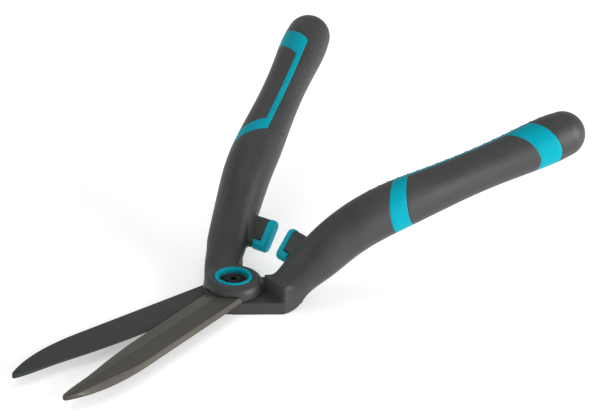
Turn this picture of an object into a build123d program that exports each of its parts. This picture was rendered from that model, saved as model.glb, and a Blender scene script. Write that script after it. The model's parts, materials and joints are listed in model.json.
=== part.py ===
"""Two-handed grass shears: two cranked handles, two blades and one pivot.

Units are millimetres. +Z is up and +X runs from the pivot towards the handles.
The origin is on the pivot axis, at the flat underside of the lower boss. The
blades are shown part open. The "upper" half carries the top blade and has its
handle on the +Y side; the "lower" half is its mirror, with its boss below.
"""
from build123d import *
from math import atan2, cos, degrees, radians, sin, tan
import os

os.makedirs("parts", exist_ok=True)

# ---- overall sizes ---------------------------------------------------------
blade_reach = 170.5          # pivot axis to blade tip
half_opening = 7.3           # each half is turned this far from closed, degrees
grip_splay = 18.0            # plan angle of a closed handle from the centre line
grip_offset = 16.3           # sideways distance from the pivot to a grip's axis
boss_radius = 18.8
base_thickness = 8.0         # lower boss, from its underside to the blade plane
boss_height = 9.0            # upper boss, above the blade plane
step_distance = 12.5         # the lower half's step wall, behind the pivot
step_height = 11.5           # top of that wall, above the blade plane
step_corner = 23.0           # along the handle, to the wall's outer corner
root_width = 12.6            # lower boss, from the grip's axis to its outer side
root_inner = 8.6             # lower boss, its inner side from the pivot
root_front = 11.0            # along the handle, to where that side starts
root_back = 51.0             # along the handle, to where the lower boss is lost in it
root_flat = 28.2             # along the handle, to where its underside turns up
root_rise = 38.5             # slope of the underside from there, degrees
root_rounding = 15.0         # radius of that turn
root_taper = 2.0             # the lower boss is this much narrower at its back
plinth_back = 24.0           # upper boss runs back under its neck to here
plinth_outside = 19.2
plinth_radius = 7.0
plinth_height = 7.5
boss_fillet = 5.5
beyond = 150.0               # a cut this large passes everything near a boss

# ---- clearances ------------------------------------------------------------
blade_gap = 0.1              # between the two halves on the blade plane
relief_gap = 0.7             # round the upper boss, to the step wall
shaft_gap = 0.05             # radial, between the stud and what turns on it
bumper_gap = 0.3             # left between the bumpers when closed
pocket_gap = 0.7             # round the washers, to the pocket's wall
bush_gap = 0.1               # left between the bush and the spring washer
spring_gap = 0.3             # radial, between the stud and the spring washer

# ---- blades ----------------------------------------------------------------
blade_thickness = 2.9
blade_cut_side = 9.0         # cutting edge past the centre line
blade_spine_side = 15.5
spine_chamfer = 1.9          # the spine's upper edge is taken in by this much
spine_tip_chamfer = 3.6      # and by this much near the tip
spine_wall = 1.1             # upright part of the spine
tip_radius = 2.0
tip_cut_slope = 15.0         # the cutting edge meets the tip's round at this angle, degrees
tip_spine_slope = 32.0       # and the spine at this one
cut_straight = 0.48          # share of the reach where the cutting edge starts to curve
cut_curve = ((0.60, 0.925), (0.72, 0.73), (0.85, 0.45))      # shares of reach and of cut side
spine_straight = 0.62        # share of the reach where the spine starts to curve
spine_curve = (0.87, 0.70)   # shares of reach and of spine side
blade_heel = 12.0            # how far in front of the pivot the full width starts
blade_root_radius = 15.0
grind_line = 0.8             # the ground face starts this far past the centre line
grind_start = 19.0           # and this far in front of the pivot
grind_edge = 0.7             # steel left at the cutting edge
grind_overrun = 2.0          # the grinding plane passes the cutting edge by this much
tang_width = 12.0
tang_bend = 22.0             # flat length of the tang, from the pivot
tang_rise = 30.0             # length of its cranked part, along the plan
tang_pitch = 34.0            # degrees

# ---- handles ---------------------------------------------------------------
sleeve_wall = 2.5
core_bore_radius = 7.5
core_bore_start = 98.0
core_bore_pitch = 15.0
plug_length = 8.0
plug_wall = 2.0
strip_side = -6.2            # inner edge of the trim strip, from the grip's axis
strip_width = 3.4
band_corner = 4.5
pad_corner = 3.0

# ---- pivot -----------------------------------------------------------------
stud_radius = 4.0
stud_thread_radius = 3.0
stud_head_radius = 7.0
floor_thickness = 2.4        # plastic under the stud's head
bush_wall = 1.2
boss_floor = 4.0             # pocket floor in the upper boss, above the blade plane
spring_height = 0.7
spring_sheet = 0.35
washer_radius = 7.9
washer_thickness = 1.1
washer_chamfer = 0.25
nut_radius = 4.9
nut_height = 1.5
nut_chamfer = 0.3
socket_flats = 4.0
socket_depth = 2.4
ring_radius = 11.9
ring_seat = 2.9              # ring's height inside the boss
ring_lip = 0.5               # ring stands proud of the boss
ring_throat = 9.5
ring_edge = 0.5              # chamfer on both edges of the ring's rim

# ---- bumpers ---------------------------------------------------------------
bumper_reach = 42.2          # pivot axis to the middle of the contact face
bumper_height = 18.4         # above the blade plane
bumper_length = 21.5
bumper_width = 8.4
bumper_slope = 52.0
cap_thickness = 4.6
cap_rounding = 1.8
wrap_depth = 10.0
wrap_length = 6.0
post_reach = 16.0            # length of the post, from the cap into the handle
post_margin = 0.3            # the cap stands out round its post by this much

blade_plane = base_thickness
inner_face = blade_gap / 2   # each half's inner face is this far from the blade plane


class Station:
    """One cross-section of a handle: where it lies and its two radii.

    along and outside are plan distances from the pivot, along the handle and away
    from the centre line. The height is above the blade plane.
    """

    def __init__(self, along, outside, height, across, deep):
        self.along = along
        self.outside = outside
        self.height = height
        self.across = across
        self.deep = deep


shoulder_along = 99.0
neck_along = 156.0
bulb_along = 207.0
end_along = 217.6
end_radius = 14.6

grip_stations = [
    Station(80.0, grip_offset, 40.2, 15.6, 15.6),
    Station(shoulder_along, grip_offset, 47.3, 15.75, 15.75),
    Station(125.0, grip_offset, 54.5, 14.7, 14.7),
    Station(neck_along, grip_offset, 62.8, 13.7, 13.7),
    Station(185.0, grip_offset, 70.4, 14.5, 14.5),
    Station(bulb_along, grip_offset, 76.3, 15.3, 15.3),
    Station(end_along, grip_offset, 79.1, end_radius, end_radius),
]
lower_root_stations = [
    Station(16.0, 17.5, 3.0, 6.5, 5.5),
    Station(42.0, grip_offset, 14.5, 15.2, 12.2),
    Station(60.0, grip_offset, 28.4, 15.5, 14.8),
]
upper_root_stations = [
    Station(3.0, 7.0, 4.6, 12.0, 4.3),
    Station(24.0, 14.0, 7.9, 12.2, 7.5),
    Station(44.0, 15.3, 18.6, 13.8, 12.0),
    Station(60.0, 15.7, 28.8, 14.7, 14.6),
]


# ---- frames ----------------------------------------------------------------
def turned(side, angle, height=0.0):
    """Level plane on the pivot axis: x turned to the side by an angle."""
    turn = radians(side * angle)
    return Plane(origin=(0, 0, height), x_dir=(cos(turn), sin(turn), 0), z_dir=(0, 0, 1))


def grip_frame(side, height=0.0):
    return turned(side, grip_splay + half_opening, height)


def half_frame(side, height=0.0):
    return turned(side, half_opening, height)


def grip_point(side, along, across, height):
    """A point from its place along and outside the pivot, in a handle's own plan."""
    return grip_frame(side, blade_plane).from_local_coords(Vector(along, side * across, height))


def section_plane(side, stations, index):
    """Plane of one cross-section, square to the handle's axis; the first stands upright."""
    before = stations[max(index - 1, 0)]
    after = stations[min(index + 1, len(stations) - 1)]
    here = stations[index]
    pitch = atan2(after.height - before.height, after.along - before.along) if index else 0
    frame = grip_frame(side)
    ahead = frame.x_dir * cos(pitch) + Vector(0, 0, sin(pitch))
    return Plane(grip_point(side, here.along, here.outside, here.height),
                 x_dir=frame.y_dir, z_dir=ahead)


def grip_tube(side, stations, inset=0.0):
    """The handle's smooth outer form, or the same form taken in by an inset."""
    with BuildPart() as tube:
        for index, station in enumerate(stations):
            with BuildSketch(section_plane(side, stations, index)):
                Ellipse(station.across - inset, station.deep - inset)
        loft()
        with Locations(grip_point(side, end_along, grip_offset, stations[-1].height)):
            Sphere(end_radius - inset)
    return tube.part


def axis_plane(side):
    """Plane through a grip's axis at its neck: x along the axis, z out of its top."""
    pitch = radians(core_bore_pitch)
    neck = next(s for s in grip_stations if s.along == neck_along)
    frame = grip_frame(side)
    ahead = frame.x_dir * cos(pitch) + Vector(0, 0, sin(pitch))
    above = frame.x_dir * -sin(pitch) + Vector(0, 0, cos(pitch))
    return Plane(grip_point(side, neck_along, grip_offset, neck.height),
                 x_dir=ahead, z_dir=above)


def on_axis(along):
    """Distance from the neck, measured along the tilted grip axis."""
    return (along - neck_along) / cos(radians(core_bore_pitch))


# ---- trim frame outline, seen square to the grip ---------------------------
# Each edge of a band is a straight slanted line: where it crosses the axis and
# how far it moves along the grip for each millimetre outwards.
lower_band_start = (102.8, -0.66)
lower_band_end = (113.4, -0.60)
upper_band_start = (184.6, 0.69)
upper_band_end = (201.8, 0.51)
outline_reach = 20.0         # past the outside of the grip


def edge_point(side, edge, across):
    crossing, lean = edge
    return (on_axis(crossing + lean * across), side * across)


def trim_area(side, first, last, inner_edge, corner, plane):
    """Prism over a grip between two slanted edges, with rounded inner corners."""
    with BuildPart() as area:
        with BuildSketch(plane) as outline:
            with BuildLine():
                Polyline(edge_point(side, first, inner_edge), edge_point(side, last, inner_edge),
                         edge_point(side, last, outline_reach),
                         edge_point(side, first, outline_reach), close=True)
            make_face()
            across = outline.vertices().group_by(Axis(plane.origin, plane.y_dir))
            fillet(across[0 if side > 0 else -1], corner)
        extrude(amount=outline_reach, both=True)
    return area.part


# ---- one half of the shears -------------------------------------------------
def blade_outline(side, chamfered=False):
    """Plan of a blade; its upper face has the spine taken in by the spine's chamfer."""
    cut = side * blade_cut_side
    spine = side * ((spine_chamfer if chamfered else 0) - blade_spine_side)
    bend_along, bend_across = spine_curve
    bend = side * ((spine_tip_chamfer if chamfered else 0) - bend_across * blade_spine_side)
    tip = -blade_reach
    cut_slope = radians(tip_cut_slope)
    spine_slope = radians(tip_spine_slope)
    cut_round = (tip + tip_radius * (1 - sin(cut_slope)), side * tip_radius * cos(cut_slope))
    spine_round = (tip + tip_radius * (1 - sin(spine_slope)), -side * tip_radius * cos(spine_slope))
    with BuildLine() as outline:
        Line((-blade_heel, cut), (cut_straight * tip, cut))
        Spline((cut_straight * tip, cut), *((along * tip, across * cut) for along, across in cut_curve),
               cut_round, tangents=((-1, 0), (-cos(cut_slope), -side * sin(cut_slope))))
        ThreePointArc(cut_round, (tip, 0), spine_round)
        Spline(spine_round, (bend_along * tip, bend), (spine_straight * tip, spine),
               tangents=((cos(spine_slope), -side * sin(spine_slope)), (1, 0)))
        Line((spine_straight * tip, spine), (-blade_heel, spine))
        Line((-blade_heel, spine), (-blade_heel, cut))
    return outline.line


def grind_wedge(side, inner):
    """What grinding takes off a blade: everything above a plane that falls to the edge."""
    frame = half_frame(side, inner)
    start = Plane(frame.from_local_coords(Vector(-grind_start, 0, 0)),
                  x_dir=frame.y_dir, z_dir=frame.x_dir)
    fall = (blade_thickness - grind_edge) / (grind_line + blade_cut_side)
    past = blade_cut_side + grind_overrun
    edge_height = blade_thickness - fall * (grind_line + past)
    with BuildPart() as wedge:
        with BuildSketch(start):
            with BuildLine():
                Polyline((-side * grind_line, side * blade_thickness),
                         (side * past, side * edge_height),
                         (side * past, side * 2 * blade_thickness),
                         (-side * grind_line, side * 2 * blade_thickness), close=True)
            make_face()
        extrude(amount=-blade_reach)
    return wedge.part


def make_blade(side):
    """Blade with its pivot hole and the cranked tang that the handle is moulded on."""
    inner = blade_plane + side * inner_face
    chamfer_start = inner + side * spine_wall
    outer = inner + side * blade_thickness
    bottom = min(inner, outer)
    pivot_hole = stud_radius + shaft_gap + bush_wall if side > 0 else stud_radius
    tang_azimuth = grip_splay + half_opening + degrees(atan2(grip_offset, tang_bend + tang_rise))
    wedge = grind_wedge(side, inner)
    with BuildPart() as blade:
        with BuildSketch(half_frame(side, inner)):
            with BuildLine():
                add(blade_outline(side))
            make_face()
        extrude(amount=side * spine_wall)
        with BuildSketch(half_frame(side, chamfer_start)):
            with BuildLine():
                add(blade_outline(side))
            make_face()
        with BuildSketch(half_frame(side, outer)):
            with BuildLine():
                add(blade_outline(side, chamfered=True))
            make_face()
        loft(ruled=True)
        add(wedge, mode=Mode.SUBTRACT)
        with BuildSketch(half_frame(side, bottom)):
            Circle(blade_root_radius)
        extrude(amount=blade_thickness)
        level = turned(side, tang_azimuth, bottom)
        with BuildSketch(level):
            Rectangle(tang_bend, tang_width, align=(Align.MIN, Align.CENTER))
        extrude(amount=blade_thickness)
        rise = tang_rise * tan(radians(tang_pitch))
        with BuildSketch(Plane(level.origin, x_dir=level.x_dir, z_dir=-level.y_dir)):
            with BuildLine():
                Polyline((tang_bend, 0), (tang_bend + tang_rise, rise),
                         (tang_bend + tang_rise, rise + blade_thickness),
                         (tang_bend, blade_thickness), close=True)
            make_face()
        extrude(amount=tang_width / 2, both=True)
        with BuildSketch(Plane.XY.offset(blade_plane)):
            Circle(pivot_hole)
        extrude(amount=2 * blade_thickness, both=True, mode=Mode.SUBTRACT)
    return blade.part


def pivot_side_prism(side):
    """Block that holds everything on the pivot's side of the lower band."""
    with BuildPart() as block:
        with BuildSketch(axis_plane(side)):
            with BuildLine():
                Polyline(edge_point(side, lower_band_start, -beyond),
                         edge_point(side, lower_band_start, beyond),
                         (-2 * beyond, side * beyond), (-2 * beyond, -side * beyond), close=True)
            make_face()
        extrude(amount=beyond, both=True)
    return block.part


def make_handle(side, blade, bumper):
    """Rigid moulding: boss, cranked neck, bumper post and the core of the grip."""
    root = upper_root_stations if side > 0 else lower_root_stations
    stations = root + grip_stations
    outer = grip_tube(side, stations)
    core = grip_tube(side, stations, sleeve_wall)
    with BuildPart() as front:
        add(outer)
        add(pivot_side_prism(side), mode=Mode.INTERSECT)
    with BuildPart() as boss:
        if side > 0:
            with BuildSketch(grip_frame(side, blade_plane + inner_face)):
                Circle(boss_radius)
            extrude(amount=boss_height - inner_face)
            fillet(boss.edges().sort_by(Axis.Z)[-1], boss_fillet)
            with BuildSketch(grip_frame(side, blade_plane + inner_face)):
                with Locations((plinth_back, plinth_outside), (0, boss_radius - plinth_radius)):
                    Circle(plinth_radius)
                make_hull()
            extrude(amount=plinth_height - inner_face)
        else:
            outer_side = grip_offset + root_width
            step_outline = ((step_corner, -outer_side), (root_back, root_taper - outer_side),
                            (root_back, -root_inner), (root_front, -root_inner))
            with BuildSketch(grip_frame(side)):
                with BuildLine():
                    Polyline(*step_outline, close=True)
                make_face()
                Circle(boss_radius + relief_gap)
                make_hull()
            extrude(amount=base_thickness)
            with BuildSketch(grip_frame(side)):
                with BuildLine():
                    Polyline(*step_outline, close=True)
                make_face()
            extrude(amount=base_thickness + step_height)
            level = grip_frame(side)
            with BuildSketch(Plane(level.origin, x_dir=level.x_dir, z_dir=-level.y_dir)):
                with BuildLine():
                    FilletPolyline((-beyond, 0), (root_flat, 0),
                                   (root_back, (root_back - root_flat) * tan(radians(root_rise))),
                                   (root_back, beyond), (-beyond, beyond),
                                   radius=[0, root_rounding, 0, 0, 0], close=True)
                make_face()
            extrude(amount=beyond, both=True, mode=Mode.INTERSECT)
    with BuildPart() as handle:
        add(front.part)
        add(core)
        add(boss.part)
        with BuildSketch(bumper_plane(side, cap_thickness)):
            SlotOverall(bumper_length - 2 * post_margin, bumper_width - 2 * post_margin)
        extrude(amount=post_reach)
        if side > 0:
            with BuildSketch(Plane.XY.offset(blade_plane + boss_floor)):
                Circle(washer_radius + pocket_gap)
            extrude(amount=2 * boss_height, mode=Mode.SUBTRACT)
            with BuildSketch(Plane.XY.offset(blade_plane + boss_height - ring_seat)):
                Circle(ring_radius)
            extrude(amount=2 * boss_height, mode=Mode.SUBTRACT)
            with BuildSketch(Plane.XY.offset(blade_plane)):
                Circle(stud_radius + shaft_gap + bush_wall)
            extrude(amount=2 * boss_height, mode=Mode.SUBTRACT)
            with BuildSketch(Plane.XY.offset(blade_plane + inner_face)):
                Circle(beyond)
            extrude(amount=-2 * boss_height, mode=Mode.SUBTRACT)
        else:
            with BuildSketch(half_frame(side, blade_plane - inner_face)):
                Rectangle(beyond, beyond, align=(Align.MAX, Align.CENTER))
                Rectangle(step_distance, beyond, align=(Align.MIN, Align.CENTER))
                Circle(boss_radius + relief_gap)
            extrude(amount=beyond, mode=Mode.SUBTRACT)
            with BuildSketch(Plane.XY.offset(floor_thickness)):
                Circle(stud_head_radius)
            extrude(amount=base_thickness, mode=Mode.SUBTRACT)
            with BuildSketch(Plane.XY):
                Circle(beyond)
            extrude(amount=-beyond, mode=Mode.SUBTRACT)
        add(blade, mode=Mode.SUBTRACT)
        add(bumper, mode=Mode.SUBTRACT)
        bore = axis_plane(side)
        bore_plane = Plane(bore.from_local_coords(Vector(on_axis(core_bore_start), 0, 0)),
                           x_dir=bore.y_dir, z_dir=bore.x_dir)
        with BuildSketch(bore_plane):
            Circle(core_bore_radius)
        extrude(amount=2 * beyond, mode=Mode.SUBTRACT)
    return handle.part


def bumper_plane(side, behind):
    """Plane of a bumper's contact face, or behind it; x along the face, z into the handle."""
    frame = half_frame(side, blade_plane)
    ahead = frame.x_dir * cos(radians(bumper_slope)) + Vector(0, 0, sin(radians(bumper_slope)))
    centre = frame.from_local_coords(
        Vector(bumper_reach, side * (bumper_gap / 2 + behind), bumper_height))
    return Plane(centre, x_dir=ahead, z_dir=frame.y_dir * side)


def make_grip_parts(side):
    """Soft sleeve, trim frame and palm pad that wrap the core of a grip."""
    stations = (upper_root_stations if side > 0 else lower_root_stations) + grip_stations
    outer = grip_tube(side, stations)
    core = grip_tube(side, stations, sleeve_wall)
    axis = axis_plane(side)
    framed = trim_area(side, lower_band_start, upper_band_end, strip_side, band_corner, axis)
    padded = trim_area(side, lower_band_end, upper_band_start, strip_side + strip_width,
                       pad_corner, axis)
    with BuildPart() as shell:
        add(outer)
        add(pivot_side_prism(side), mode=Mode.SUBTRACT)
        add(core, mode=Mode.SUBTRACT)
    with BuildPart() as sleeve:
        add(shell.part)
        add(framed, mode=Mode.SUBTRACT)
    with BuildPart() as trim:
        add(shell.part)
        add(framed, mode=Mode.INTERSECT)
        add(padded, mode=Mode.SUBTRACT)
    with BuildPart() as pad:
        add(shell.part)
        add(padded, mode=Mode.INTERSECT)
    return sleeve.part, trim.part, pad.part


def make_end_plug(side):
    """Plug that closes the hollow core, with the same domed end as the core."""
    core = grip_tube(side, grip_stations, sleeve_wall)
    bore = axis_plane(side)
    start = Plane(bore.from_local_coords(Vector(on_axis(end_along), 0, 0)),
                  x_dir=bore.y_dir, z_dir=bore.x_dir)
    with BuildPart() as plug:
        with BuildSketch(start):
            Circle(core_bore_radius)
        extrude(amount=2 * end_radius)
        add(core, mode=Mode.INTERSECT)
        with BuildSketch(start):
            Circle(core_bore_radius - plug_wall)
        extrude(amount=plug_length, mode=Mode.SUBTRACT)
    return plug.part


def make_bumper(side):
    """Soft cap over a bumper post, wrapped round the post's lower end."""
    contact = bumper_plane(side, 0)
    with BuildPart() as cap:
        with BuildSketch(contact):
            SlotOverall(bumper_length, bumper_width)
        extrude(amount=cap_thickness)
        fillet(cap.faces().sort_by_distance(contact.origin)[0].edges(), cap_rounding)
        with BuildSketch(bumper_plane(side, cap_thickness)):
            with Locations((-bumper_length / 2 + wrap_length / 2, 0)):
                Rectangle(wrap_length, bumper_width)
            SlotOverall(bumper_length, bumper_width, mode=Mode.INTERSECT)
        extrude(amount=wrap_depth - cap_thickness)
    return cap.part


def make_pivot():
    """The stud moulded into the lower half and what is stacked on it."""
    boss_top = blade_plane + boss_height
    ring_top = boss_top + ring_lip
    pocket_floor = blade_plane + boss_floor
    washer_bottom = pocket_floor + spring_height
    nut_bottom = washer_bottom + washer_thickness
    stud_top = nut_bottom + nut_height
    spring_bore = stud_radius + spring_gap
    with BuildPart() as stud:
        with BuildSketch(Plane.XY.offset(floor_thickness)):
            Circle(stud_head_radius)
        extrude(amount=blade_plane - inner_face - blade_thickness - floor_thickness)
        with BuildSketch(Plane.XY.offset(floor_thickness)):
            Circle(stud_radius)
        extrude(amount=washer_bottom - floor_thickness)
        with BuildSketch(Plane.XY.offset(floor_thickness)):
            Circle(stud_thread_radius)
        extrude(amount=stud_top - floor_thickness)
        with BuildSketch(Plane.XY.offset(stud_top)):
            RegularPolygon(socket_flats / 2, 6, major_radius=False)
        extrude(amount=-socket_depth, mode=Mode.SUBTRACT)
    with BuildPart() as bush:
        with BuildSketch(Plane.XY.offset(blade_plane + inner_face)):
            Circle(stud_radius + shaft_gap + bush_wall)
            Circle(stud_radius + shaft_gap, mode=Mode.SUBTRACT)
        extrude(amount=boss_floor - inner_face - bush_gap)
    with BuildPart() as spring:
        with BuildSketch(Plane.XZ):
            with BuildLine():
                Polyline((spring_bore, washer_bottom), (washer_radius, pocket_floor + spring_sheet),
                         (washer_radius, pocket_floor), (spring_bore, washer_bottom - spring_sheet),
                         close=True)
            make_face()
        revolve(axis=Axis.Z)
    with BuildPart() as washer:
        with BuildSketch(Plane.XY.offset(washer_bottom)):
            Circle(washer_radius)
            Circle(stud_thread_radius, mode=Mode.SUBTRACT)
        extrude(amount=washer_thickness)
        chamfer(washer.edges().group_by(Axis.Z)[-1], washer_chamfer)
    with BuildPart() as nut:
        with BuildSketch(Plane.XY.offset(nut_bottom)):
            Circle(nut_radius)
            Circle(stud_thread_radius, mode=Mode.SUBTRACT)
        extrude(amount=nut_height)
        chamfer(nut.edges().group_by(Axis.Z)[-1], nut_chamfer)
    with BuildPart() as ring:
        with BuildSketch(Plane.XZ):
            with BuildLine():
                Polyline((ring_throat, ring_top - ring_edge), (ring_throat, boss_top - ring_seat),
                         (ring_radius, boss_top - ring_seat), (ring_radius, ring_top - ring_edge),
                         (ring_radius - ring_edge, ring_top), (ring_throat + ring_edge, ring_top),
                         close=True)
            make_face()
        revolve(axis=Axis.Z)
    return {"pivot_stud": stud.part, "pivot_bush": bush.part, "spring_washer": spring.part,
            "flange_washer": washer.part, "lock_nut": nut.part, "pivot_ring": ring.part}


def write(name, shape):
    shape.label = name
    export_step(shape, f"parts/{name}.step")


for side, half in ((1, "upper"), (-1, "lower")):
    blade = make_blade(side)
    sleeve, trim, pad = make_grip_parts(side)
    write(f"{half}_blade", blade)
    bumper = make_bumper(side)
    write(f"{half}_handle", make_handle(side, blade, bumper))
    write(f"{half}_sleeve", sleeve)
    write(f"{half}_trim_frame", trim)
    write(f"{half}_palm_pad", pad)
    write(f"{half}_end_plug", make_end_plug(side))
    write(f"{half}_bumper", bumper)
for name, shape in make_pivot().items():
    write(name, shape)
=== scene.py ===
# %% [markdown]
# # Grass shears, a lesson in cells
# The shears are two mirror-image halves that cross at a pivot. Each half is a coated
# blade moulded into a rigid handle, with a soft grip, a turquoise trim frame and a rubber
# bumper. The measured model is loaded first and stays where it is. Everything below is
# built around it: camera and light, finishes, and then the pieces that need mesh work.

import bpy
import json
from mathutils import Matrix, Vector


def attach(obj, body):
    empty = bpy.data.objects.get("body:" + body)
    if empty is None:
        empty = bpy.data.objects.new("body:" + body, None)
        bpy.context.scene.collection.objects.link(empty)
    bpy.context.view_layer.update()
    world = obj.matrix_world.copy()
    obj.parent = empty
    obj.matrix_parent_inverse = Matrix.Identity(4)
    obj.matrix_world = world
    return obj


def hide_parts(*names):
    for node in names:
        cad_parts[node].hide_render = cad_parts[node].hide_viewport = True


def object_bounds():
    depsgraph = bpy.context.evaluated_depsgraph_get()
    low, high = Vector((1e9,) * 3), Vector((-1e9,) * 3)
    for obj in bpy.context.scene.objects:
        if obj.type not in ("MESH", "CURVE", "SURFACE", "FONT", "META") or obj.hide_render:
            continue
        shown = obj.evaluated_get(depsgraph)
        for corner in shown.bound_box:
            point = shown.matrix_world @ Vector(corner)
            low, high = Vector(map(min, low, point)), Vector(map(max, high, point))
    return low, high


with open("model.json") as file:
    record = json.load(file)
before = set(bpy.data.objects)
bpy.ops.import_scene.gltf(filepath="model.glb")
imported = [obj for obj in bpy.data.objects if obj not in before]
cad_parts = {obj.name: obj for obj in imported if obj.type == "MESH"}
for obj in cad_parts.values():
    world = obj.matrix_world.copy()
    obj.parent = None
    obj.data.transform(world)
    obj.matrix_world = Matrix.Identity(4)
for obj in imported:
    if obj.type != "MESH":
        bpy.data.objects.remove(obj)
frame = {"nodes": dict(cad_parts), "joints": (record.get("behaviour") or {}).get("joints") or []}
cad_low, cad_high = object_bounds()
print("model from", [round(v, 4) for v in cad_low], "to", [round(v, 4) for v in cad_high])

# %% Tools and units
import json
from math import cos, pi, radians, sin, tan

import bmesh
import bpy
from mathutils import Matrix, Vector
from mathutils.bvhtree import BVHTree
from mathutils.kdtree import KDTree

MM = 0.001                           # everything below is in metres
BODY = {"upper": "upper_half", "lower": "lower_half"}
SIDE = {"upper": 1, "lower": -1}     # which side of the centre line a half's handle is on
half_opening = radians(7.3)          # each half stands this far from closed
joint = frame["joints"][0]
blade_plane = joint["pos_m"][2]      # the height at which the two blades meet
print("joint", joint["name"], "blades meet at", round(blade_plane / MM, 2), "mm")

# %% [markdown]
# ## Camera
# The view is from the blade side, about 27 degrees above the floor, through a long lens
# that keeps the near handle from looking swollen. The camera's place is worked out from
# three angles and the distance to the pivot, which reads as it would be set up in a
# studio. A short lens close by would show the same pieces with stronger perspective,
# which a catalogue picture avoids.

# %% Camera place
elevation = radians(27.12)
heading = radians(49.24)             # from +Y towards +X
roll = radians(1.77)
pivot_distance = 1.878
pivot_right = 41.84 * MM             # the view's centre, right of and above the pivot
pivot_up = 51.04 * MM

level_right = Vector((cos(heading), -sin(heading), 0))
level_forward = Vector((sin(heading), cos(heading), 0))
forward = level_forward * cos(elevation) - Vector((0, 0, sin(elevation)))
level_up = level_right.cross(forward)
right = level_right * cos(roll) + level_up * sin(roll)
up = level_up * cos(roll) - level_right * sin(roll)
pivot = Vector((0, 0, blade_plane))
place = pivot + right * pivot_right + up * pivot_up - forward * pivot_distance

# %% Camera object
lens = bpy.data.cameras.new("catalogue_lens")
lens.lens = 180
lens.sensor_width = 36
lens.clip_start = 0.05
lens.clip_end = 50
camera = bpy.data.objects.new("catalogue_camera", lens)
bpy.context.scene.collection.objects.link(camera)
camera.matrix_world = Matrix((
    (right.x, up.x, -forward.x, place.x),
    (right.y, up.y, -forward.y, place.y),
    (right.z, up.z, -forward.z, place.z),
    (0, 0, 0, 1)))
bpy.context.scene.camera = camera
print("camera at", [round(v, 3) for v in camera.location])

# %% [markdown]
# ## Floor and light
# A catalogue picture of dark plastic is lit with large white surfaces on all sides, so
# that each rounded edge carries a broad soft highlight. A white world gives that for
# nothing, and five large area lights give it a direction: a strong one on the right and
# weaker ones in front, behind, on the left and overhead. The pale floor returns light to
# the undersides of the grips. It also glows a little, as a lit table does, which keeps
# the shadows soft and pale.

# %% Floor
floor_size = 8.0
floor_gap = 0.05 * MM                # below the rest face, so that the two don't coincide
floor_mesh = bpy.data.meshes.new("studio_floor")
floor_shape = bmesh.new()
bmesh.ops.create_grid(floor_shape, x_segments=2, y_segments=2, size=floor_size / 2)
bmesh.ops.translate(floor_shape, verts=floor_shape.verts, vec=(0, 0, cad_low.z - floor_gap))
floor_shape.to_mesh(floor_mesh)
floor_shape.free()
floor = bpy.data.objects.new("studio_floor", floor_mesh)
bpy.context.scene.collection.objects.link(floor)
print("floor", floor_size, "m wide, at", round((cad_low.z - floor_gap) / MM, 2), "mm")

# %% World and lights
world_strength = 0.48
world = bpy.data.worlds.new("studio_world")
bpy.context.scene.world = world
world.use_nodes = True
world.node_tree.nodes["Background"].inputs["Color"].default_value = (1, 1, 1, 1)
world.node_tree.nodes["Background"].inputs["Strength"].default_value = world_strength
bpy.context.scene.view_settings.view_transform = "Standard"


def studio_spot(to_right, to_back, height):
    """A place in metres right of, behind and above the pivot, as the camera sees it."""
    return level_right * to_right + level_forward * to_back + Vector((0, 0, height))


def soft_light(name, position, size, power):
    """A white square area light that looks at the middle of the shears."""
    lamp = bpy.data.lights.new(name, "AREA")
    lamp.shape = "SQUARE"
    lamp.size = size
    lamp.energy = power
    light = bpy.data.objects.new(name, lamp)
    target = (cad_low + cad_high) / 2
    light.location = position
    light.rotation_euler = (target - position).to_track_quat("-Z", "Y").to_euler()
    bpy.context.scene.collection.objects.link(light)


soft_light("right_wall", studio_spot(1.4, -0.5, 0.30), size=1.1, power=34)
soft_light("left_wall", studio_spot(-1.5, 0.2, 0.5), size=1.1, power=4)
soft_light("back_wall", studio_spot(0, 1.6, 0.9), size=1.4, power=1.5)
soft_light("front_wall", studio_spot(-0.4, -1.6, 0.5), size=1.1, power=5)
soft_light("ceiling", Vector((0.1, 0.1, 1.8)), size=1.0, power=3.5)
print("lights", sorted(lamp.name for lamp in bpy.data.lights))

# %% [markdown]
# ## Shared effects
# Two effects repeat over the object, so each is a node group with named sockets. One
# is the fine spark-eroded grain of moulded plastic, with slow blotches that keep a large
# face from looking printed. The other is the directional brushing of coated steel. Both
# read Object coordinates, which are metres in the model's own frame, so grain on one
# piece has the same scale as on the next.

# %% Helpers for node trees
def new_group(name, inputs, outputs):
    """An empty shader group; inputs are (name, default) and outputs are names of floats."""
    tree = bpy.data.node_groups.new(name, "ShaderNodeTree")
    number = "NodeSocketFloat"
    for label, value in inputs:
        socket = tree.interface.new_socket(label, in_out="INPUT", socket_type=number)
        socket.default_value = value
    for label in outputs:
        tree.interface.new_socket(label, in_out="OUTPUT", socket_type=number)
    return tree, tree.nodes.new("NodeGroupInput"), tree.nodes.new("NodeGroupOutput")


def add_node(tree, kind, **settings):
    """A new node with some of its settings changed."""
    made = tree.nodes.new(kind)
    for key, value in settings.items():
        setattr(made, key, value)
    return made


def noise(tree, vector, scale, detail, roughness):
    """A noise texture's value; scale is a number or the output of another node."""
    made = add_node(tree, "ShaderNodeTexNoise")
    made.inputs["Detail"].default_value = detail
    made.inputs["Roughness"].default_value = roughness
    tree.links.new(vector, made.inputs["Vector"])
    if isinstance(scale, (int, float)):
        made.inputs["Scale"].default_value = scale
    else:
        tree.links.new(scale, made.inputs["Scale"])
    return made.outputs["Fac"]


def spread(tree, value, low, high, to_low=0.0, to_high=1.0):
    """Stretches the part of a value between low and high over a new range."""
    made = add_node(tree, "ShaderNodeMapRange", interpolation_type="SMOOTHSTEP")
    made.inputs["From Min"].default_value = low
    made.inputs["From Max"].default_value = high
    made.inputs["To Min"].default_value = to_low
    made.inputs["To Max"].default_value = to_high
    tree.links.new(value, made.inputs["Value"])
    return made.outputs["Result"]


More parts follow.
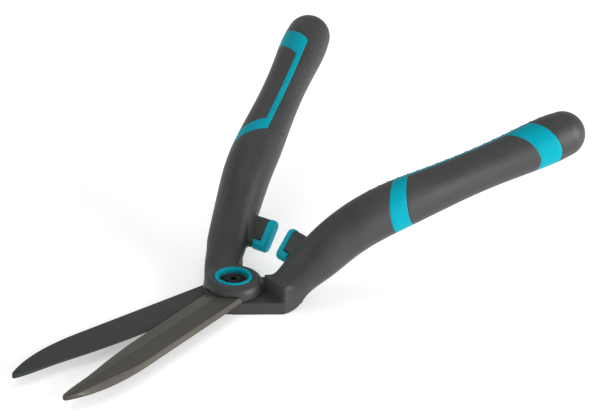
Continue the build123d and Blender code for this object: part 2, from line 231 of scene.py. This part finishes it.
def times(tree, value, share):
    made = add_node(tree, "ShaderNodeMath", operation="MULTIPLY")
    tree.links.new(value, made.inputs[0])
    made.inputs[1].default_value = share
    return made.outputs["Value"]


def blended(tree, first, first_share, second, second_share):
    """The sum of two values, each times its share."""
    made = add_node(tree, "ShaderNodeMath", operation="ADD")
    tree.links.new(times(tree, first, first_share), made.inputs[0])
    tree.links.new(times(tree, second, second_share), made.inputs[1])
    return made.outputs["Value"]


# %% Moulded grain group
def make_grain_group():
    """Fine rounded grain of a spark-eroded mould, with slow blotches behind it."""
    tree, source, result = new_group(
        "moulded_grain", [("Grain Scale", 1500.0), ("Blotch Scale", 40.0)],
        ["Grain Height", "Blotches", "Flecks"])
    spot = add_node(tree, "ShaderNodeTexCoord").outputs["Object"]
    cells = add_node(tree, "ShaderNodeTexVoronoi", feature="SMOOTH_F1")
    cells.inputs["Smoothness"].default_value = 0.6
    tree.links.new(spot, cells.inputs["Vector"])
    tree.links.new(source.outputs["Grain Scale"], cells.inputs["Scale"])
    fine = noise(tree, spot, source.outputs["Grain Scale"], 3.0, 0.6)
    rounded = spread(tree, cells.outputs["Distance"], 0.0, 0.7)
    tree.links.new(blended(tree, rounded, 0.6, fine, 0.8), result.inputs["Grain Height"])
    slow = noise(tree, spot, source.outputs["Blotch Scale"], 4.0, 0.55)
    tree.links.new(spread(tree, slow, 0.3, 0.7), result.inputs["Blotches"])
    tree.links.new(spread(tree, fine, 0.55, 0.72), result.inputs["Flecks"])
    return tree


grain_group = make_grain_group()
print("group", grain_group.name, "with", len(grain_group.nodes), "nodes")


# %% Brushed coating group
def make_brushing_group():
    """Streaks along X after a turn, and a fine orange peel, as on a sprayed blade."""
    tree, source, result = new_group(
        "brushed_coating", [("Turn", 0.0)], ["Streaks", "Peel Height", "Clouds"])
    spot = add_node(tree, "ShaderNodeTexCoord").outputs["Object"]
    turn = add_node(tree, "ShaderNodeVectorRotate", rotation_type="Z_AXIS")
    tree.links.new(spot, turn.inputs["Vector"])
    tree.links.new(source.outputs["Turn"], turn.inputs["Angle"])
    stretch = add_node(tree, "ShaderNodeMapping")
    stretch.inputs["Scale"].default_value = (0.03, 1.0, 1.0)
    tree.links.new(turn.outputs["Vector"], stretch.inputs["Vector"])
    streaks = noise(tree, stretch.outputs["Vector"], 2600.0, 3.0, 0.6)
    tree.links.new(spread(tree, streaks, 0.32, 0.68), result.inputs["Streaks"])
    peel = noise(tree, spot, 2200.0, 2.0, 0.5)
    tree.links.new(peel, result.inputs["Peel Height"])
    clouds = noise(tree, turn.outputs["Vector"], 28.0, 3.0, 0.5)
    tree.links.new(spread(tree, clouds, 0.3, 0.7), result.inputs["Clouds"])
    return tree


brushing_group = make_brushing_group()
print("group", brushing_group.name, "with", len(brushing_group.nodes), "nodes")

# %% [markdown]
# ## Plastics and rubbers
# One maker serves them all. The colour runs between two close tones along the blotches,
# the roughness moves a little with them, and the grain reaches the surface as bump. The
# numbers that make a finish what it is, such as specular level and sheen, are set on the
# shader itself.

# %% Helpers for materials
def mixed_colour(tree, factor, first, second):
    """Runs between two colours as the factor goes from 0 to 1."""
    made = add_node(tree, "ShaderNodeMix", data_type="RGBA")
    tree.links.new(factor, made.inputs["Factor"])
    made.inputs["A"].default_value = (*first, 1)
    made.inputs["B"].default_value = (*second, 1)
    return made.outputs["Result"]


def start_material(name):
    """A new material with its node tree and its shader."""
    material = bpy.data.materials.new(name)
    material.use_nodes = True
    return material, material.node_tree, material.node_tree.nodes["Principled BSDF"]


def link_bump(tree, shader, height, distance):
    bump = add_node(tree, "ShaderNodeBump")
    bump.inputs["Strength"].default_value = 1.0
    bump.inputs["Distance"].default_value = distance
    tree.links.new(height, bump.inputs["Height"])
    tree.links.new(bump.outputs["Normal"], shader.inputs["Normal"])


# %% Maker of moulded plastics and rubbers
fleck_gain = 2.2                     # a fleck is this much lighter than the light tone


def moulded(name, dark, light, rough, grain_scale, grain_depth, specular=0.5, sheen=0.0,
            flecks=0.0):
    """A moulded plastic or rubber; rough holds its roughness on both tones."""
    material, tree, shader = start_material(name)
    grain = add_node(tree, "ShaderNodeGroup", node_tree=grain_group)
    grain.inputs["Grain Scale"].default_value = grain_scale
    tone = mixed_colour(tree, grain.outputs["Blotches"], dark, light)
    if flecks:
        over = add_node(tree, "ShaderNodeMix", data_type="RGBA")
        share = times(tree, grain.outputs["Flecks"], flecks)
        tree.links.new(share, over.inputs["Factor"])
        tree.links.new(tone, over.inputs["A"])
        over.inputs["B"].default_value = (*[min(1.0, c * fleck_gain) for c in light], 1)
        tone = over.outputs["Result"]
    tree.links.new(tone, shader.inputs["Base Color"])
    roughness = spread(tree, grain.outputs["Blotches"], 0, 1, rough[0], rough[1])
    tree.links.new(roughness, shader.inputs["Roughness"])
    link_bump(tree, shader, grain.outputs["Grain Height"], grain_depth)
    shader.inputs["Specular IOR Level"].default_value = specular
    shader.inputs["Sheen Weight"].default_value = sheen
    shader.inputs["Sheen Roughness"].default_value = 0.4
    return material


# %% Plastics and rubbers
soft_touch = {"specular": 0.45, "sheen": 0.06, "flecks": 0.22}
charcoal = moulded(
    "charcoal_soft_touch", dark=(0.023, 0.024, 0.024), light=(0.031, 0.032, 0.031),
    rough=(0.46, 0.56), grain_scale=1600, grain_depth=0.045 * MM, **soft_touch)
grip_skin = moulded(
    "grip_rubber_skin", dark=(0.021, 0.022, 0.022), light=(0.028, 0.029, 0.028),
    rough=(0.48, 0.58), grain_scale=1500, grain_depth=0.050 * MM, **soft_touch)
palm_skin = moulded(
    "palm_rubber_skin", dark=(0.023, 0.024, 0.024), light=(0.030, 0.031, 0.030),
    rough=(0.50, 0.60), grain_scale=1400, grain_depth=0.055 * MM, **soft_touch)
turquoise = moulded(
    "turquoise_satin", dark=(0.0, 0.270, 0.345), light=(0.0, 0.295, 0.375),
    rough=(0.40, 0.50), grain_scale=2600, grain_depth=0.006 * MM, specular=0.06)
turquoise_rubber = moulded(
    "turquoise_bumper_rubber", dark=(0.0, 0.340, 0.430), light=(0.0, 0.370, 0.470),
    rough=(0.46, 0.56), grain_scale=2000, grain_depth=0.012 * MM, specular=0.15)
core_plastic = moulded(
    "core_plug_plastic", dark=(0.06, 0.06, 0.06), light=(0.075, 0.075, 0.075),
    rough=(0.5, 0.6), grain_scale=1500, grain_depth=0.02 * MM)
print("plastics:", charcoal.name, turquoise.name, core_plastic.name)
print("rubbers:", grip_skin.name, palm_skin.name, turquoise_rubber.name)

# %% The floor's finish
floor_glow = 0.34
studio_pale = moulded(
    "studio_pale", dark=(0.88, 0.88, 0.88), light=(0.90, 0.90, 0.90),
    rough=(0.8, 0.9), grain_scale=60, grain_depth=0.0001 * MM)
floor_shader = studio_pale.node_tree.nodes["Principled BSDF"]
floor_shader.inputs["Emission Color"].default_value = (1, 1, 1, 1)
floor_shader.inputs["Emission Strength"].default_value = floor_glow
floor.data.materials.append(studio_pale)
print("floor finish", studio_pale.name)

# %% [markdown]
# ## Steels
# The blades carry a baked non-stick coat over ground steel, so the finish is a dark
# satin with faint streaks along the blade. The face ground along the cutting edge has
# the same coat over a finer surface. The chamfer along the spine, which faces partly up,
# has a lighter finish than the coat, a painted highlight. The pivot's stud, nut and disc
# are blackened steel; the spring washer is plain spring steel and the bush bronze.

# %% Maker of coated steels
peel_depth = 0.006 * MM


def coated_steel(name, dark, light, rough, turn, metallic, specular=0.5):
    """A steel with streaks along a blade; turn is the angle from the blade to X."""
    material, tree, shader = start_material(name)
    brushing = add_node(tree, "ShaderNodeGroup", node_tree=brushing_group)
    brushing.inputs["Turn"].default_value = turn
    streaks = brushing.outputs["Streaks"]
    worn = blended(tree, streaks, 0.55, brushing.outputs["Clouds"], 0.45)
    tree.links.new(mixed_colour(tree, worn, dark, light), shader.inputs["Base Color"])
    roughness = spread(tree, worn, 0, 1, rough[0], rough[1])
    tree.links.new(roughness, shader.inputs["Roughness"])
    height = blended(tree, streaks, 0.5, brushing.outputs["Peel Height"], 0.5)
    link_bump(tree, shader, height, peel_depth)
    shader.inputs["Metallic"].default_value = metallic
    shader.inputs["Specular IOR Level"].default_value = specular
    return material


# %% Blade finishes
bronze_coat = coated_steel(
    "blade_coat_warm", dark=(0.062, 0.058, 0.047), light=(0.078, 0.073, 0.060),
    rough=(0.42, 0.52), turn=-half_opening, metallic=0.25, specular=0.14)
bronze_ground = coated_steel(
    "blade_bevel_warm", dark=(0.088, 0.083, 0.070), light=(0.110, 0.104, 0.088),
    rough=(0.38, 0.48), turn=-half_opening, metallic=0.30, specular=0.14)
# The spine's finish is lighter than the coat: a painted highlight on the chamfer.
bronze_spine_painted_highlight = coated_steel(
    "blade_spine_warm", dark=(0.112, 0.104, 0.090), light=(0.140, 0.131, 0.114),
    rough=(0.40, 0.50), turn=-half_opening, metallic=0.25, specular=0.15)
grey_coat = coated_steel(
    "blade_coat_grey", dark=(0.038, 0.043, 0.039), light=(0.050, 0.055, 0.051),
    rough=(0.44, 0.54), turn=half_opening, metallic=0.12, specular=0.08)
grey_ground = coated_steel(
    "blade_bevel_grey", dark=(0.038, 0.042, 0.039), light=(0.050, 0.055, 0.051),
    rough=(0.40, 0.50), turn=half_opening, metallic=0.18, specular=0.10)
# The spine's finish is lighter than the coat: a painted highlight on the chamfer.
grey_spine_painted_highlight = coated_steel(
    "blade_spine_grey", dark=(0.090, 0.096, 0.092), light=(0.120, 0.127, 0.122),
    rough=(0.36, 0.46), turn=half_opening, metallic=0.30, specular=0.20)
print("upper blade:", bronze_coat.name, bronze_ground.name, bronze_spine_painted_highlight.name)
print("lower blade:", grey_coat.name, grey_ground.name, grey_spine_painted_highlight.name)

# %% Finishes of the pivot's pieces
black_steel = coated_steel(
    "blackened_steel", dark=(0.005, 0.005, 0.006), light=(0.010, 0.010, 0.011),
    rough=(0.30, 0.42), turn=0.0, metallic=0.2, specular=0.3)
spring_steel = coated_steel(
    "spring_steel", dark=(0.34, 0.34, 0.35), light=(0.42, 0.42, 0.43),
    rough=(0.28, 0.38), turn=0.0, metallic=1.0)
bronze = coated_steel(
    "bush_bronze", dark=(0.42, 0.27, 0.13), light=(0.52, 0.34, 0.17),
    rough=(0.3, 0.4), turn=0.0, metallic=1.0)
print("pivot finishes:", black_steel.name, spring_steel.name, bronze.name)

# %% [markdown]
# ## Working on measured shapes
# Many pieces already have the right form. They only lack what a mould or a grinding
# wheel leaves: a small radius on each edge. A copy is welded, its flat faces are made
# whole again, and its sharp edges are bevelled. The measured piece is then hidden, and
# the copy stands for it.

# %% Helpers for measured shapes
weld_distance = 0.001 * MM


def merged_copy(node, flat=None):
    """A welded bmesh of a node; neighbours within the angle flat become one face."""
    bm = bmesh.new()
    bm.from_mesh(frame["nodes"][node].data)
    bmesh.ops.remove_doubles(bm, verts=bm.verts, dist=weld_distance)
    if flat:
        bmesh.ops.dissolve_limit(bm, angle_limit=flat, verts=bm.verts, edges=bm.edges)
    return bm


def soften(bm, width, angle):
    """Rounds every edge that is sharper than the angle."""
    edges = [e for e in bm.edges if e.is_manifold and e.calc_face_angle(0) > angle]
    bmesh.ops.bevel(bm, geom=edges, offset=width, offset_type="OFFSET", affect="EDGES",
                    segments=2, profile=0.5, material=-1, clamp_overlap=False)
    return len(edges)


# %% Helpers for pieces
def make_piece(name, bm, body, materials, stands_for=()):
    """Turns a finished bmesh into an object that rides on a body."""
    mesh = bpy.data.meshes.new(name)
    bm.to_mesh(mesh)
    bm.free()
    for material in materials:
        mesh.materials.append(material)
    piece = bpy.data.objects.new(name, mesh)
    bpy.context.scene.collection.objects.link(piece)
    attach(piece, body)
    if stands_for:
        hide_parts(*stands_for)
    print(name, len(mesh.polygons), "faces")
    return piece


def smooth_by_angle(piece, angle):
    """Smooth shading that stops at edges sharper than the angle."""
    mesh = piece.data
    mesh.shade_smooth()
    bm = bmesh.new()
    bm.from_mesh(mesh)
    for edge in bm.edges:
        edge.smooth = edge.calc_face_angle(pi) < angle
    bm.to_mesh(mesh)
    bm.free()


# %% [markdown]
# ## Blades
# A blade is a flat slab, ground to a wedge along its cutting edge and chamfered along its
# spine. The measured shape is right, but a real edge is never a perfect corner: the coat
# builds up on it and catches light as a thin line. So the copy gets a fine bevel. The
# ground faces are the only ones that lean, each by its own angle, which is how they are
# found and given their finishes before the bevel adds its own faces.

# %% Blades
blade_edge_round = 0.14 * MM
blade_flat = radians(0.4)            # faces within this angle are one face
blade_sharp = radians(28)            # edges sharper than this are rounded
blade_smooth = radians(35)           # and shading runs smoothly over the rest
spine_lean = (0.45, 0.955)           # how much the spine's chamfer points up
edge_lean = (0.955, 0.99)            # and the ground face along the cutting edge


def make_blade(half, coat, ground, spine_highlight):
    """A blade with fine edges; the third finish, a painted highlight, is the lighter one along
    its spine.
    """
    node = half + "_blade"
    bm = merged_copy(node, blade_flat)
    for face in bm.faces:
        lean = abs(face.normal.z)
        # Faces of the spine's chamfer take the lighter finish, a painted highlight.
        if spine_lean[0] < lean < spine_lean[1]:
            face.material_index = 2
        elif edge_lean[0] <= lean < edge_lean[1]:
            face.material_index = 1
    print(node, "edges rounded:", soften(bm, blade_edge_round, blade_sharp))
    finishes = [coat, ground, spine_highlight]
    piece = make_piece(node + "_coated", bm, BODY[half], finishes, [node])
    smooth_by_angle(piece, blade_smooth)


make_blade("upper", bronze_coat, bronze_ground, bronze_spine_painted_highlight)
make_blade("lower", grey_coat, grey_ground, grey_spine_painted_highlight)

# %% [markdown]
# ## Handles
# Each handle is one moulding: a boss round the pivot, a cranked neck, a post for the
# bumper, and the core that the soft grip covers. In the mould these forms flow into one
# another through generous radii, which the measured model leaves as hard valleys. A
# valley between two curved faces is hard to bevel, so the copy is rebuilt as an even
# skin of small squares, and the skin is relaxed near the valleys. Crisp edges, such as
# the step behind the pivot, keep their places and get the small radius that the skin
# gives them. The core under the grip is never seen, so it is cut off first and joined
# back as it was measured.

# %% Where a handle lies
grip_turn = radians(18.0) + half_opening     # plan angle of a handle from the centre line
grip_rise = radians(15.0)
core_cut = 116 * MM                  # the hidden core starts this far along the handle
core_cut_height = 52 * MM            # and this far above the blades
valley_end = 80 * MM                 # valleys further along than this are left alone
ring_clear = 12.6 * MM               # and so is the seat of the pivot ring


def handle_ahead(half):
    """The level direction from the pivot along a handle."""
    return Vector((cos(grip_turn), SIDE[half] * sin(grip_turn), 0))


def handle_outside(half):
    """The level direction across a handle, away from the centre line."""
    ahead = handle_ahead(half)
    return Vector((-ahead.y, ahead.x, 0)) * SIDE[half]


# %% Valleys of a moulding
valley_angle = radians(14)           # the least angle by which a valley is hollow
free_view = 40 * MM                  # an outside face sees at least this far
ray_start = 0.05 * MM                # off the surface, so that the ray doesn't hit it
flush_band = 0.5 * MM                # edges this near the blades' plane aren't valleys
sample_step = 0.5 * MM


def valley_points(bm, half):
    """Points along the hollow edges on the outside of a moulding."""
    tree = BVHTree.FromBMesh(bm)
    points = []
    for edge in bm.edges:
        if not edge.is_manifold or edge.calc_face_angle_signed(0) > -valley_angle:
            continue
        first, last = (v.co for v in edge.verts)
        middle = (first + last) / 2
        outward = (edge.link_faces[0].normal + edge.link_faces[1].normal).normalized()
        flush = abs(middle.z - blade_plane) < flush_band
        beyond = middle.dot(handle_ahead(half)) > valley_end
        if flush or beyond or middle.xy.length < ring_clear:
            continue
        if tree.ray_cast(middle + outward * ray_start, outward, free_view)[0] is None:
            steps = max(1, round((last - first).length / sample_step))
            points += [first.lerp(last, i / steps) for i in range(steps + 1)]
    return points


# %% Cutting and rebuilding a shape
skin_square = 0.55 * MM
on_plane = 0.0001 * MM               # corners this near the cutting plane lie on it


def closed_half(bm, point, normal, keep_above):
    """Cuts a hollow shape with a plane and closes the ring-shaped cut."""
    everything = bm.verts[:] + bm.edges[:] + bm.faces[:]
    bmesh.ops.bisect_plane(bm, geom=everything, dist=on_plane, plane_co=point,
                           plane_no=normal, clear_outer=not keep_above,
                           clear_inner=keep_above)
    rim = [e for e in bm.edges if e.is_boundary]
    bmesh.ops.bridge_loops(bm, edges=rim)
    print("  cut rim edges", len(rim), "left open", sum(e.is_boundary for e in bm.edges))


def rebuilt(bm):
    """The same solid as an even skin of small squares."""
    mesh = bpy.data.meshes.new("skin")
    bm.to_mesh(mesh)
    bm.free()
    holder = bpy.data.objects.new("skin", mesh)
    bpy.context.scene.collection.objects.link(holder)
    remesh = holder.modifiers.new("squares", "REMESH")
    remesh.mode = "VOXEL"
    remesh.voxel_size = skin_square
    even = holder.evaluated_get(bpy.context.evaluated_depsgraph_get()).to_mesh()
    skin = bmesh.new()
    skin.from_mesh(even)
    bpy.data.objects.remove(holder)
    bpy.data.meshes.remove(mesh)
    return skin


# %% Relaxing a skin
step_distance = 12.5 * MM            # the step wall stands this far behind the pivot
still_band = 1.1 * MM                # nothing is relaxed this near a crisp edge


def keeps_still(half, point):
    """Whether a point is by the ring's seat, the floor, the upper underside or the wall."""
    if point.z < still_band or point.xy.length < ring_clear:
        return True
    if half == "upper":
        return point.z < blade_plane + still_band
    ahead = Vector((cos(half_opening), SIDE[half] * sin(half_opening)))
    return point.xy.dot(ahead) < step_distance + still_band


def smooth_once(bm, verts):
    bmesh.ops.smooth_vert(bm, verts=verts, factor=0.5, use_axis_x=True, use_axis_y=True,
                          use_axis_z=True)


def relax(bm, half, points, rounds):
    """Smooths a skin near some points; rounds are (distance, passes), widest first."""
    tree = KDTree(len(points))
    for index, point in enumerate(points):
        tree.insert(point, index)
    tree.balance()
    reach = {v: tree.find(v.co)[2] for v in bm.verts if not keeps_still(half, v.co)}
    for distance, passes in rounds:
        near = [v for v, d in reach.items() if d < distance]
        for _ in range(passes):
            smooth_once(bm, near)


# %% Where a root ends
# The corners in which the root's block runs out under the neck: along the handle, away
# from the centre line, and above the floor. Their valleys are too shallow to be found.
root_ends = {"upper": [(24 * MM, 26 * MM, 16 * MM)],
             "lower": [(42 * MM, 27 * MM, 12 * MM), (50 * MM, 26 * MM, 18 * MM)]}
root_rounds = [(9 * MM, 30), (7 * MM, 30), (5 * MM, 20)]


def root_end_points(half):
    ahead, outside = handle_ahead(half), handle_outside(half)
    return [ahead * distance + outside * width + Vector((0, 0, height))
            for distance, width, height in root_ends[half]]


# %% Handles
valley_rounds = [(6.0 * MM, 10), (4.6 * MM, 20), (3.2 * MM, 25)]


def make_handle(half):
    """A moulding with blended valleys on its head and its hidden core as measured."""
    node = half + "_handle"
    cut_at = handle_ahead(half) * core_cut
    cut_at.z = blade_plane + core_cut_height
    square = handle_ahead(half) * cos(grip_rise) + Vector((0, 0, sin(grip_rise)))
    core = merged_copy(node)
    head = core.copy()
    valleys = valley_points(head, half)
    closed_half(core, cut_at, square, keep_above=True)
    closed_half(head, cut_at, square, keep_above=False)
    skin = rebuilt(head)
    print(node, "valley points", len(valleys), "skin faces", len(skin.faces))
    relax(skin, half, valleys, valley_rounds)
    relax(skin, half, root_end_points(half), root_rounds)
    smooth_once(skin, skin.verts)
    core_mesh = bpy.data.meshes.new(node + "_core")
    core.to_mesh(core_mesh)
    core.free()
    skin.from_mesh(core_mesh)
    bpy.data.meshes.remove(core_mesh)
    piece = make_piece(node + "_moulding", skin, BODY[half], [charcoal],
                       [node])
    piece.data.shade_smooth()


for half in BODY:
    make_handle(half)

# %% [markdown]
# ## Raised dots
# Three staggered rows of small raised dots run along the inner side of each grip, from
# near its end down onto the neck, where the thumb rests. They could be a bump pattern,
# but a real dot stands above the rubber and catches its own light. So each one is a
# squashed sphere of a few dozen faces, half sunk where a ray from outside meets the grip.

# %% Dots
dot_radius, dot_height = 0.62 * MM, 0.34 * MM
dot_rows = [radians(35), radians(50), radians(65)]      # down from the grip's top
dot_first, dot_last, dot_pitch = 91 * MM, 214 * MM, 6.5 * MM
ray_length = 30 * MM                 # from outside the grip to its axis
waist_along, waist_outside, waist_height = 156 * MM, 16.3 * MM, 62.8 * MM


def grip_axis_point(half, distance):
    """A point on a grip's axis, and the directions out of its top and its outer side."""
    ahead, outside = handle_ahead(half), handle_outside(half)
    height = blade_plane + waist_height + (distance - waist_along) * tan(grip_rise)
    point = ahead * distance + outside * waist_outside + Vector((0, 0, height))
    above = Vector((0, 0, cos(grip_rise))) - ahead * sin(grip_rise)
    return point, above, outside


def surface_trees(half):
    """Search trees of the measured pieces that a dot can land on."""
    trees = {}
    for part in ("sleeve", "handle", "trim_frame"):
        copy = merged_copy(half + "_" + part)
        trees[part] = BVHTree.FromBMesh(copy)
        copy.free()
    return trees


def make_dots(half):
    """Rows of dots on a grip and its neck, with none on the trim frame."""
    trees = surface_trees(half)
    squash = Matrix.Diagonal((1, 1, dot_height / dot_radius, 1))
    bm = bmesh.new()
    for row, angle in enumerate(dot_rows):
        distance = dot_first + (row % 2) * dot_pitch / 2
        while distance < dot_last:
            centre, above, outside = grip_axis_point(half, distance)
            outward = above * cos(angle) - outside * sin(angle)
            hits = [(*tree.ray_cast(centre + outward * ray_length, -outward), part)
                    for part, tree in trees.items()]
            spot, normal, _, _, part = min((h for h in hits if h[0]), key=lambda h: h[3])
            if part != "trim_frame":
                stand = normal.to_track_quat("Z", "Y").to_matrix().to_4x4()
                bmesh.ops.create_uvsphere(bm, u_segments=8, v_segments=6, radius=dot_radius,
                                          matrix=Matrix.Translation(spot) @ stand @ squash)
            distance += dot_pitch
    piece = make_piece(half + "_grip_dots", bm, BODY[half], [grip_skin])
    piece.data.shade_smooth()


for half in BODY:
    make_dots(half)

# %% [markdown]
# ## Grip skins, bumpers and pivot pieces
# The sleeve, the trim frame and the pad are moulded one against the other, and a hair of
# radius on each rim leaves the fine seam that separates them. The turned pieces of the
# pivot have slightly larger radii, and the soft bumper caps have larger ones still. All
# are welded copies, because only welded faces shade smoothly into one another.

# %% Rims
seam_round = 0.12 * MM
cap_round = 0.45 * MM
turned_round = 0.15 * MM
rim_flat = radians(0.05)             # faces within this angle are one face
rim_sharp = radians(40)              # edges sharper than this are rounded
rim_smooth = radians(50)             # and shading runs smoothly over the rest


def finish_piece(node, body, material, width):
    """A welded copy of a measured node with its rims rounded and its shading smooth."""
    bm = merged_copy(node, rim_flat)
    print(node, "rims rounded:", soften(bm, width, rim_sharp))
    piece = make_piece(node + "_finished", bm, body, [material], [node])
    smooth_by_angle(piece, rim_smooth)


for half in BODY:
    finish_piece(half + "_sleeve", BODY[half], grip_skin, seam_round)
    finish_piece(half + "_palm_pad", BODY[half], palm_skin, seam_round)
    finish_piece(half + "_trim_frame", BODY[half], turquoise, seam_round)
    finish_piece(half + "_bumper", BODY[half], turquoise_rubber, cap_round)
finish_piece("pivot_ring", BODY["upper"], turquoise, turned_round)
finish_piece("flange_washer", BODY["lower"], black_steel, turned_round)
finish_piece("lock_nut", BODY["lower"], black_steel, turned_round)

# %% [markdown]
# ## Pieces that stay as measured
# The end plugs, the bush and the spring washer are hidden inside the shears, and only
# the stud's end shows. Their measured shapes are kept, and each gets its finish.

# %% Finishes on the measured pieces
plain_finishes = {"upper_end_plug": core_plastic, "lower_end_plug": core_plastic,
                  "pivot_stud": black_steel, "spring_washer": spring_steel,
                  "pivot_bush": bronze}
for node, material in plain_finishes.items():
    finish_slots = frame["nodes"][node].data.materials
    finish_slots.clear()
    finish_slots.append(material)
    print(node, "is finished in", material.name)
